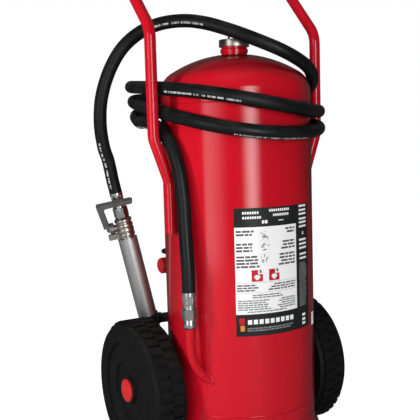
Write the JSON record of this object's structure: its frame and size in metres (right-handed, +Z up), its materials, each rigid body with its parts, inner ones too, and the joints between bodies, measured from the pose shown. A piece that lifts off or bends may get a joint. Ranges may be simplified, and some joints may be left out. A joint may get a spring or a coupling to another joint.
{
  "type": "wheeled fire extinguisher",
  "caption": "Wheeled foam extinguisher: upright pressure vessel on two treaded wheels, with a push handle, a hose wound round its shoulder, a ball-valve lance and a rear gas bottle.",
  "frame": {"origin": "on the vessel's vertical axis at floor level", "axes": "+Z up, -Y towards the labelled front, +X to the right of a viewer who faces the label"},
  "size_m": [0.4822, 0.4813, 1.0108],
  "materials": {
    "red_paint": "gloss",
    "grey_paint": "gloss",
    "red_plastic": "satin",
    "black_plastic": "satin",
    "tyre_rubber": "matt",
    "hose_rubber": "satin",
    "seal_rubber": "matt",
    "bright_steel": "zinc plated",
    "chromed_steel": "polished",
    "dark_steel": "blackened",
    "nickelled_brass": "nickel plated",
    "grey_casting": "as cast",
    "lance_aluminium": "satin"
  },
  "bodies": {
    "chassis": {"vessel_shell": "red_paint", "foot_ring": "red_paint", "pickup_pipe": "bright_steel", "filler_neck": "red_paint", "handle_left": "red_paint", "handle_right": "red_paint", "handle_crossbar": "red_paint", "left_axle": "dark_steel", "right_axle": "dark_steel", "axle_washers": "bright_steel", "retaining_rings": "dark_steel", "outlet_elbow": "red_paint", "outlet_boss": "red_paint", "pipe_collar": "red_paint", "union_collar": "chromed_steel", "union_washer": "bright_steel", "outlet_nut": "chromed_steel", "outlet_ferrule": "chromed_steel", "hose_riser": "hose_rubber", "hose_coil": "hose_rubber", "hose_arch": "hose_rubber", "valve_ferrule": "chromed_steel", "valve_nut": "chromed_steel", "valve_body": "nickelled_brass", "lance_tube": "lance_aluminium", "foam_jet": "nickelled_brass", "lance_clip": "dark_steel", "clip_bracket": "dark_steel", "gas_bottle": "grey_paint", "bottle_shelf": "red_paint", "bottle_saddles": "red_paint", "bottle_bands": "bright_steel", "band_bolts": "bright_steel", "bottle_valve": "nickelled_brass", "gas_nut": "bright_steel", "gas_pipe": "dark_steel"},
    "left_wheel": {"left_tyre": "tyre_rubber", "left_rim": "black_plastic", "left_bush": "bright_steel", "left_hub_cap": "red_plastic"},
    "right_wheel": {"right_tyre": "tyre_rubber", "right_rim": "black_plastic", "right_bush": "bright_steel", "right_hub_cap": "red_plastic"},
    "valve_lever": {"valve_ball": "chromed_steel", "lever": "grey_casting", "lever_nut": "bright_steel"},
    "cap": {"filler_cap": "nickelled_brass", "cap_seal": "seal_rubber", "cap_relief": "dark_steel"},
    "gas_handwheel": {"handwheel": "red_plastic"}
  },
  "joints": [
    {"name": "left_wheel_spin", "type": "hinge", "parent": "chassis", "child": "left_wheel", "pos_m": [-0.191, 0.076, 0.1403], "axis": [1, 0, 0], "continuous": true},
    {"name": "right_wheel_spin", "type": "hinge", "parent": "chassis", "child": "right_wheel", "pos_m": [0.191, 0.076, 0.1403], "axis": [1, 0, 0], "continuous": true},
    {"name": "valve_turn", "type": "hinge", "parent": "chassis", "child": "valve_lever", "pos_m": [-0.1845, 0.15, 0.462], "axis": [0.8278, -0.5269, 0.1926], "range_deg": [0, 90]},
    {"name": "cap_turn", "type": "hinge", "parent": "chassis", "child": "cap", "pos_m": [0, 0, 0.83], "axis": [0, 0, 1], "range_deg": [0, 180]},
    {"name": "handwheel_turn", "type": "hinge", "parent": "chassis", "child": "gas_handwheel", "pos_m": [-0.06, 0.2055, 0.36], "axis": [1, 0, 0], "range_deg": [0, 270]}
  ]
}
